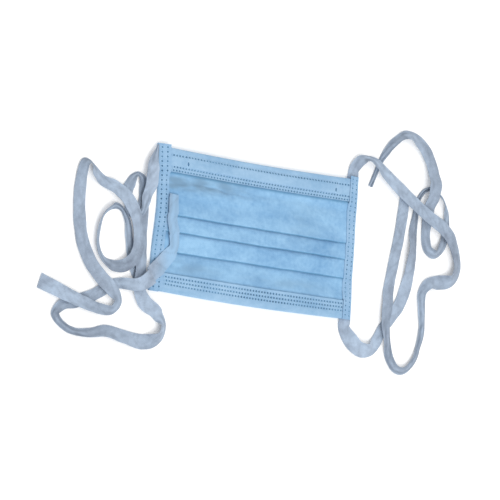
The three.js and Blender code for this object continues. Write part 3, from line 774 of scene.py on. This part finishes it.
def make_binding(name, side):
    """A tape folded over one side edge."""
    ys = even(-HALF_HEIGHT, HALF_HEIGHT, 0.6)
    upper = even(BINDING, 0.4, 0.45)
    angles = np.linspace(0, math.pi, 9)[1:-1]
    lower = even(0.5, BINDING, 1.5)
    out = np.concatenate([upper, 0.4 - 0.22 * np.sin(angles), lower])
    rows = []
    for y in ys:
        z_upper = binding_top(upper, np.full(len(upper), y))
        z_turn = np.maximum(z_upper[-1] * (0.5 + 0.5 * np.cos(angles)), TABLE_GAP)
        z = np.concatenate([z_upper, z_turn, np.full(len(lower), TABLE_GAP)])
        rows.append(np.column_stack([side * (HALF_WIDTH - out), np.full(len(out), y), z]))
    rows = np.array(rows)
    out = HALF_WIDTH - side * rows[..., 0]
    # Painted shade along the weld columns, where the pinched tape dips
    shade = groove(out, WELD_COLUMNS, 0.3, 0.6)
    run = np.arange(rows.shape[1]) * 0.5
    uv = np.stack(np.broadcast_arrays(rows[..., 1], run[None, :]), -1)
    if side < 0:
        rows, uv, shade = rows[::-1], uv[::-1], shade[::-1]
    return grid_mesh(name, rows, uv, shade)


def weld_mark(name, long=1.0):
    """One dished weld mark with a soft rim, at the origin."""
    deselect()
    bpy.ops.mesh.primitive_circle_add(vertices=8, radius=1.0 * MM, fill_type="NGON")
    mark = bpy.context.active_object
    mark.name = name
    bpy.ops.object.mode_set(mode="EDIT")
    bpy.ops.mesh.select_all(action="SELECT")
    for inset, rise in WELD_RINGS:
        bpy.ops.mesh.inset(thickness=inset * MM)
        bpy.ops.transform.translate(value=(0, 0, rise * MM))
    bpy.ops.object.mode_set(mode="OBJECT")
    mark.data.transform(Matrix.Diagonal((1, long, 1, 1)))
    dress(mark, weld_rim, weld_pit)
    for face in mark.data.polygons:
        from_middle = math.hypot(face.center.x, face.center.y / long)
        face.material_index = int(from_middle < WELD_PIT * MM)
    return mark


def weld_row(name, start, step, count, long=1.0):
    """A straight row of weld marks from start, step apart, in millimetres."""
    mark = weld_mark(name, long)
    mark.data.transform(Matrix.Translation(Vector((*start, 0)) * MM))
    if count > 1:
        select_only(mark)
        repeat = mark.modifiers.new("row", "ARRAY")
        repeat.use_relative_offset = False
        repeat.use_constant_offset = True
        repeat.constant_offset_displace = Vector((*step, 0)) * MM
        repeat.count = count
        bpy.ops.object.modifier_apply(modifier=repeat.name)
    return mark


def join_rows(name, rows, surface):
    """Joins rows of marks into one piece and lays it on the cloth."""
    deselect()
    for row in rows:
        row.select_set(True)
    bpy.context.view_layer.objects.active = rows[0]
    if len(rows) > 1:
        bpy.ops.object.join()
    piece = rows[0]
    piece.name = name
    places = vertex_places(piece)
    places[:, 2] += surface(places[:, 0], places[:, 1])
    move_vertices(piece, places)
    select_only(piece)
    bpy.ops.object.shade_smooth_by_angle(angle=math.radians(60))
    return piece


def hem_surface(side):
    """Where the welds of a hem sit, as a height over x and y."""
    return lambda x, y: hem_top(x, y, side) + HEM_CLOTH / 2 - WELD_SINK


def binding_surface(x, y):
    """Where the welds of a binding sit."""
    return binding_top(HALF_WIDTH - np.abs(x), y) + TAPE_CLOTH / 2 - WELD_SINK


def hem_welds(name, side):
    """The weld rows of one hem, and on the top hem the two long marks that stop the nose wire."""
    end, pitch = HEM_WELDS
    count = round(2 * end / pitch) + 1
    rows = []
    for order, place in enumerate(WELD_ROWS[side]):
        start = (-end + 0.6 * (order % 2), side * (HALF_HEIGHT - place))
        rows.append(weld_row(f"{name}_{order}", start, (pitch, 0), count))
    if side > 0:
        for turn in (-1, 1):
            start = (turn * (WIRE_HALF + 0.6), WIRE_Y)
            rows.append(weld_row(f"{name}_stop_{turn + 1}", start, (0, 0), 1, STOP_STRETCH))
    return join_rows(name, rows, hem_surface(side))


def binding_welds(name, side):
    """The weld columns of one side binding."""
    end, pitch = BINDING_WELDS
    count = round(2 * end / pitch) + 1
    rows = []
    for order, out in enumerate(WELD_COLUMNS):
        start = (side * (HALF_WIDTH - out), -end + 0.4 * order)
        rows.append(weld_row(f"{name}_{order}", start, (0, pitch), count))
    return join_rows(name, rows, binding_surface)


def make_welds():
    """The weld marks of both hems and both bindings."""
    return [
        hem_welds("top_hem_welds", 1),
        hem_welds("bottom_hem_welds", -1),
        binding_welds("left_binding_welds", -1),
        binding_welds("right_binding_welds", 1),
    ]


# The camera and the ties come first
add_camera()
ties = [tie(name, 11.3 * (order + 1)) for order, name in enumerate(TIE_ROUTES)]


# Materials


def group_sockets(group, inputs, outputs):
    """Gives a node group its inputs, with their values, and its outputs."""
    for kind, name, value in inputs:
        socket = group.interface.new_socket(name=name, in_out="INPUT", socket_type=kind)
        if value is not None:
            socket.default_value = value
    for kind, name in outputs:
        group.interface.new_socket(name=name, in_out="OUTPUT", socket_type=kind)


class Nodes:
    """Short calls that add and link the nodes of one tree."""

    def __init__(self, tree):
        self.tree = tree

    def add(self, kind, settings=None, **inputs):
        node = self.tree.nodes.new(kind)
        for key, value in (settings or {}).items():
            setattr(node, key, value)
        for key, value in inputs.items():
            self.feed(node.inputs[key.replace("_", " ")], value)
        return node

    def feed(self, socket, value):
        if isinstance(value, bpy.types.NodeSocket):
            self.tree.links.new(value, socket)
        else:
            socket.default_value = value

    def math(self, operation, a, b=0.0, c=0.0):
        node = self.tree.nodes.new("ShaderNodeMath")
        node.operation = operation
        for socket, value in zip(node.inputs, (a, b, c)):
            self.feed(socket, value)
        return node.outputs[0]

    def mix(self, share, a, b):
        node = self.tree.nodes.new("ShaderNodeMix")
        node.data_type = "RGBA"
        # Inputs 6 and 7 and output 2 are the colour ones
        self.feed(node.inputs["Factor"], share)
        self.feed(node.inputs[6], a)
        self.feed(node.inputs[7], b)
        return node.outputs[2]

    def noise(self, vector, scale, detail=3.0, roughness=0.6, distortion=0.0):
        node = self.add("ShaderNodeTexNoise", Vector=vector, Scale=scale, Detail=detail,
                        Roughness=roughness, Distortion=distortion)
        return node.outputs["Fac"]


def colour(red, green, blue):
    """A screen colour as a linear one."""
    parts = [c / 255 for c in (red, green, blue)]
    return (*[c / 12.92 if c <= 0.04045 else ((c + 0.055) / 1.055) ** 2.4 for c in parts], 1)


def stretched(n, place, scale, turn=0.0):
    """The place stretched and turned, so that a pattern laid on it runs one way."""
    mapping = n.add("ShaderNodeMapping", Vector=place)
    mapping.inputs["Scale"].default_value = scale
    mapping.inputs["Rotation"].default_value = (0, 0, turn)
    return mapping.outputs[0]


def non_woven_group():
    """Laid fibres, bond points and mottling of a non-woven cloth."""
    group = bpy.data.node_groups.new("non_woven_cloth", "ShaderNodeTree")
    group_sockets(group, (
        ("NodeSocketVector", "Place", None),
        ("NodeSocketColor", "Light", (1, 1, 1, 1)),
        ("NodeSocketColor", "Deep", (0.5, 0.5, 0.5, 1)),
        ("NodeSocketColor", "Crease colour", (0.3, 0.3, 0.3, 1)),
        ("NodeSocketFloat", "Crease shade", 0.0),
        ("NodeSocketColor", "Tint colour", (0.5, 0.5, 0.5, 1)),
        ("NodeSocketFloat", "Tint", 0.0),
        ("NodeSocketFloat", "Mottle size", 60.0),
        ("NodeSocketFloat", "Fibre size", 1400.0),
        ("NodeSocketFloat", "Bond pitch", 0.0014),
    ), (
        ("NodeSocketColor", "Colour"),
        ("NodeSocketFloat", "Height"),
        ("NodeSocketFloat", "Roughness"),
    ))
    n = Nodes(group)
    given = group.nodes.new("NodeGroupInput").outputs
    out = group.nodes.new("NodeGroupOutput").inputs
    place = given["Place"]
    drawn = stretched(n, place, (0.45, 1.0, 1.0))
    mottle = n.noise(drawn, given["Mottle size"], 5.0, 0.62, 0.4)
    cloud = n.noise(place, n.math("MULTIPLY", given["Mottle size"], 5.2), 3.0, 0.6)
    laid = stretched(n, place, (0.28, 1.0, 1.0), 0.5)
    crossed = stretched(n, place, (1.0, 0.24, 1.0), 0.35)
    first = n.noise(laid, given["Fibre size"], 3.0, 0.7, 0.6)
    second = n.noise(crossed, given["Fibre size"], 3.0, 0.7, 0.6)
    fibres = n.math("MAXIMUM", first, second)
    axes = n.add("ShaderNodeSeparateXYZ", Vector=place)
    turn = n.math("DIVIDE", math.pi, given["Bond pitch"])
    sides = [n.math("MULTIPLY", n.math("ADD", axes.outputs[0], axes.outputs[1]), turn),
             n.math("MULTIPLY", n.math("SUBTRACT", axes.outputs[0], axes.outputs[1]), turn)]
    waves = [n.math("POWER", n.math("ABSOLUTE", n.math("SINE", side)), 3.0) for side in sides]
    bond = n.math("MULTIPLY", *waves)
    share = n.math("MULTIPLY_ADD", mottle, 2.2, -0.7)
    share = n.math("ADD", share, n.math("MULTIPLY_ADD", cloud, 1.0, -0.5))
    share = n.math("ADD", share, n.math("MULTIPLY_ADD", fibres, 0.6, -0.33))
    clamp = n.add("ShaderNodeClamp", Value=n.math("MULTIPLY_ADD", bond, 0.22, share))
    cloth = n.mix(clamp.outputs[0], given["Light"], given["Deep"])
    # The tint mixes in the panel's painted shade and greyer patches, or the mask's blue under a tape;
    # the crease mixes in painted shade
    cloth = n.mix(given["Tint"], cloth, given["Tint colour"])
    n.feed(out["Colour"], n.mix(given["Crease shade"], cloth, given["Crease colour"]))
    n.feed(out["Height"], n.math("MULTIPLY_ADD", bond, -0.6, fibres))
    n.feed(out["Roughness"], n.math("MULTIPLY_ADD", fibres, 0.16, 0.74))
    return group


def cloth_material(name, group, light, deep, crease_shade, mottle=60.0, fibre=1400.0, pitch=0.0014,
                   place="object", bump=0.25, sheen=0.15, crease_share=1.0, tint=None):
    """One cloth finish with its own colours, on object coordinates or on the piece's flat cloth."""
    material = bpy.data.materials.new(name)
    material.use_nodes = True
    tree = material.node_tree
    n = Nodes(tree)
    shader = tree.nodes["Principled BSDF"]
    shader.inputs["Sheen Weight"].default_value = sheen
    shader.inputs["Sheen Roughness"].default_value = 0.6
    shader.inputs["Specular IOR Level"].default_value = 0.25
    if place == "object":
        where = n.add("ShaderNodeTexCoord").outputs["Object"]
    else:
        where = n.add("ShaderNodeUVMap", {"uv_map": "flat_cloth"}).outputs[0]
    effect = tree.nodes.new("ShaderNodeGroup")
    effect.node_tree = group
    # The crease attribute is painted shade, and on the panel the tint attribute is painted shade with
    # greyer patches
    line = n.add("ShaderNodeAttribute", {"attribute_name": "crease_shade"}).outputs["Fac"]
    for key, value in (("Place", where), ("Light", light), ("Deep", deep), ("Crease colour", crease_shade),
                       ("Crease shade", n.math("MULTIPLY", line, crease_share)), ("Mottle size", mottle),
                       ("Fibre size", fibre), ("Bond pitch", pitch)):
        n.feed(effect.inputs[key], value)
    if tint:
        over = n.add("ShaderNodeAttribute", {"attribute_name": "tint"}).outputs["Fac"]
        n.feed(effect.inputs["Tint"], n.math("MULTIPLY", over, 0.85))
        n.feed(effect.inputs["Tint colour"], tint)
    bumps = n.add("ShaderNodeBump", Strength=bump, Distance=0.0004, Height=effect.outputs["Height"])
    n.feed(shader.inputs["Base Color"], effect.outputs["Colour"])
    n.feed(shader.inputs["Roughness"], effect.outputs["Roughness"])
    n.feed(shader.inputs["Normal"], bumps.outputs[0])
    return material


def dress(piece, *materials):
    """Puts materials in a piece's slots, in this order."""
    slots = piece.data.materials
    for index, material in enumerate(materials):
        if index < len(slots):
            slots[index] = material
        else:
            slots.append(material)


def ride(piece, slot, *nodes):
    """Ties a piece to the mask's body and hides the solids that it replaces. The finish slot is not
    used.
    """
    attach(piece, "root")
    if nodes:
        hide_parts(*nodes)


non_woven = non_woven_group()
# Each crease colour below is the colour of painted shade; the blue outer ply's tint colour is painted
# shade in its valley, with greyer patches
blue_cloth = cloth_material(
    "blue_outer_ply", non_woven, colour(146, 190, 224), colour(106, 154, 196), colour(60, 126, 164),
    tint=colour(110, 143, 170))
white_cloth = cloth_material(
    "white_inner_ply", non_woven, colour(236, 240, 244), colour(214, 222, 230), colour(180, 190, 200))
hem_cloth = cloth_material(
    "hem_cloth", non_woven, colour(152, 186, 215), colour(124, 164, 198), colour(98, 142, 180))
binding_cloth = cloth_material(
    "binding_cloth", non_woven, colour(150, 184, 214), colour(122, 162, 198), colour(98, 142, 180))
tape_cloth = cloth_material(
    "tie_tape", non_woven, colour(174, 192, 213), colour(118, 129, 146), colour(86, 97, 113),
    mottle=28.0, place="flat", bump=0.3, crease_share=0.8, tint=colour(146, 186, 220))
weld_rim = cloth_material(
    "weld_rim", non_woven, colour(170, 204, 230), colour(138, 178, 210), colour(110, 150, 190),
    bump=0.1)
weld_pit = cloth_material(
    "weld_pit", non_woven, colour(102, 146, 184), colour(44, 82, 116), colour(44, 80, 114),
    mottle=24.0, bump=0.1, sheen=0.0)
wire_plastic = cloth_material(
    "wire_plastic", non_woven, colour(236, 238, 240), colour(214, 219, 224), colour(190, 196, 202),
    mottle=20.0, bump=0.04, sheen=0.0)

panel = make_panel()
dress(panel, blue_cloth, white_cloth)
thicken(panel, PANEL_CLOTH, 1)
top_hem = make_hem("folded_top_hem", 1, TOP_HEM)
bottom_hem = make_hem("folded_bottom_hem", -1, BOTTOM_HEM)
for piece, node in ((top_hem, "top_hem"), (bottom_hem, "bottom_hem")):
    dress(piece, hem_cloth)
    thicken(piece, HEM_CLOTH)
    ride(piece, "hem_cloth", node)
bindings = []
for name, side in (("left_binding", -1), ("right_binding", 1)):
    piece = make_binding("folded_" + name, side)
    dress(piece, binding_cloth)
    thicken(piece, TAPE_CLOTH)
    ride(piece, "binding_cloth", name)
    bindings.append(piece)
ride(panel, "blue_cloth", "panel")
welds = make_welds()
for piece in welds:
    ride(piece, "hem_cloth" if "hem" in piece.name else "binding_cloth")
for piece in (panel, top_hem, bottom_hem, *bindings, *welds):
    settle(piece, "binding" not in piece.name)
for piece in ties:
    dress(piece, tape_cloth)
dress(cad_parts["nose_wire"], wire_plastic)


def add_floor():
    """A large pale floor that comes out white, as the photograph's background is."""
    deselect()
    bpy.ops.mesh.primitive_plane_add(size=8)
    floor = bpy.context.active_object
    floor.name = "floor"
    material = bpy.data.materials.new("pale_floor")
    material.use_nodes = True
    shader = material.node_tree.nodes["Principled BSDF"]
    shader.inputs["Base Color"].default_value = (0.93, 0.93, 0.93, 1)
    shader.inputs["Roughness"].default_value = 0.9
    shader.inputs["Specular IOR Level"].default_value = 0.1
    shader.inputs["Emission Color"].default_value = (1, 1, 1, 1)
    shader.inputs["Emission Strength"].default_value = 0.12
    floor.data.materials.append(material)


def add_light(name, place, size, power):
    """A square lamp that faces the mask, with its place and size in metres."""
    light = bpy.data.lights.new(name, "AREA")
    light.size = size
    light.energy = power
    lamp = bpy.data.objects.new(name, light)
    lamp.location = place
    lamp.rotation_euler = (-Vector(place)).to_track_quat("-Z", "Y").to_euler()
    bpy.context.scene.collection.objects.link(lamp)


def add_world():
    """Even white light from all round."""
    world = bpy.data.worlds.new("studio")
    world.use_nodes = True
    background = world.node_tree.nodes["Background"]
    background.inputs["Color"].default_value = (1, 1, 1, 1)
    background.inputs["Strength"].default_value = 0.85
    bpy.context.scene.world = world


add_floor()
add_light("key_light", (-0.5, -1.5, 1.9), 1.4, 26)
add_light("fill_light", (1.4, 1.2, 2.0), 2.0, 10)
add_world()
bpy.context.scene.view_settings.view_transform = "Standard"
